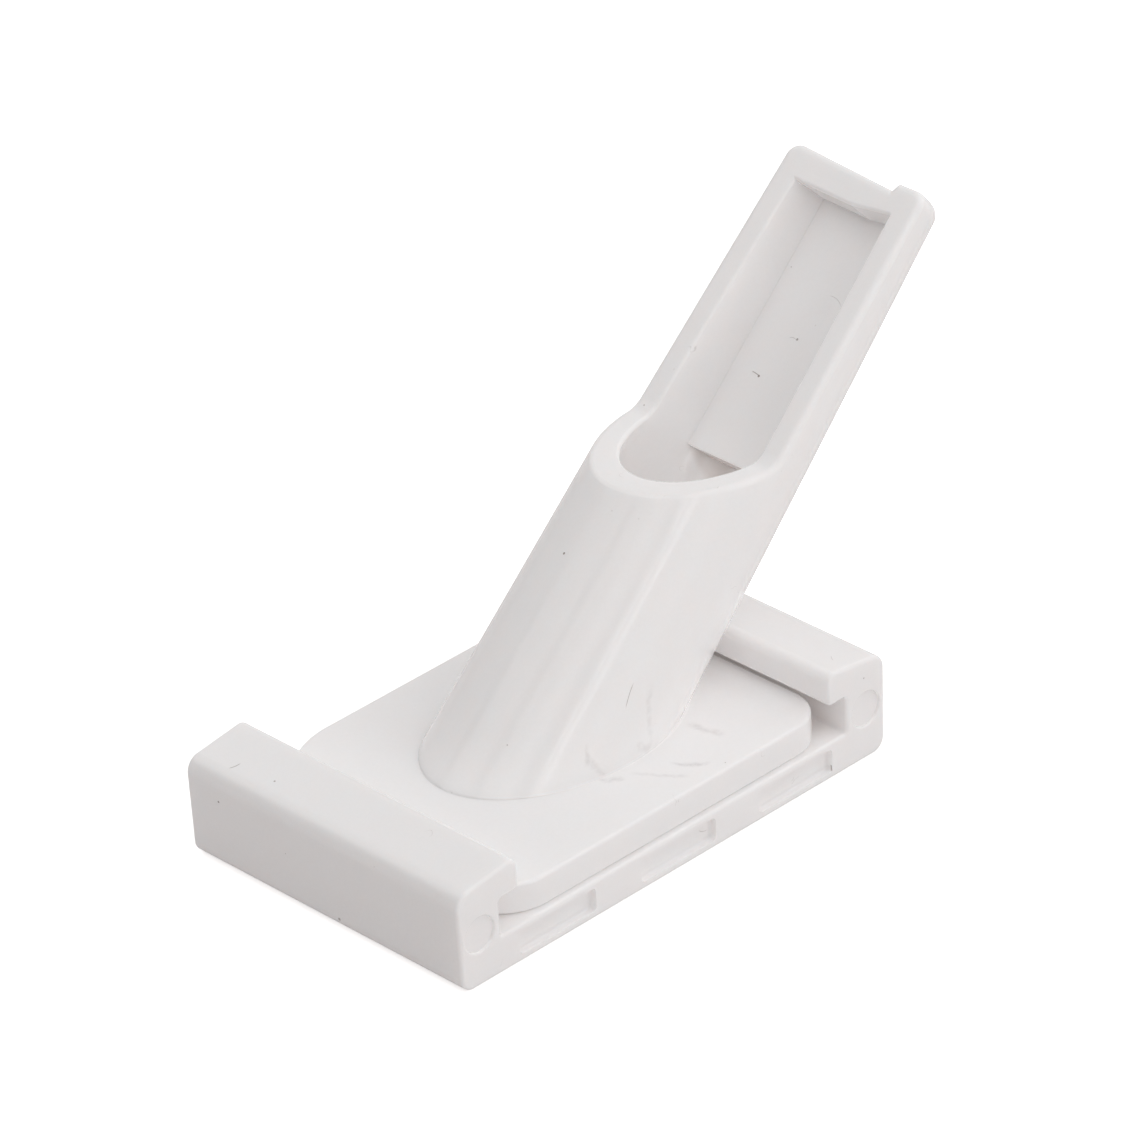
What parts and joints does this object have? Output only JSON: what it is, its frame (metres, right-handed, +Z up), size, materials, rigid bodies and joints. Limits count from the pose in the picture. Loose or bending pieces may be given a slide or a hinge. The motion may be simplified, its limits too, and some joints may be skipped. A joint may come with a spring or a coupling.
{
  "type": "sliding pill chute",
  "caption": "Inclined round chute with a level mouth and an open trough, on a plate that slides in a low base with two lipped rails.",
  "frame": {"origin": "centre of the base's flat underside", "axes": "+X is the way the chute leans, -Y is the front edge with the three pockets and the way the plate slides out, +Z is up"},
  "size_m": [0.0846, 0.0388, 0.0524],
  "materials": {
    "base_plastic": "semi-gloss",
    "plate_plastic": "semi-gloss",
    "tube_plastic": "glossy"
  },
  "bodies": {
    "base": {"rail_base": "base_plastic"},
    "slider": {"slide_plate": "plate_plastic", "chute_tube": "tube_plastic"}
  },
  "joints": [
    {"name": "plate_slide", "type": "slide", "parent": "base", "child": "slider", "axis": [0, -1, 0], "range_m": [-0.019, 0.019]}
  ]
}
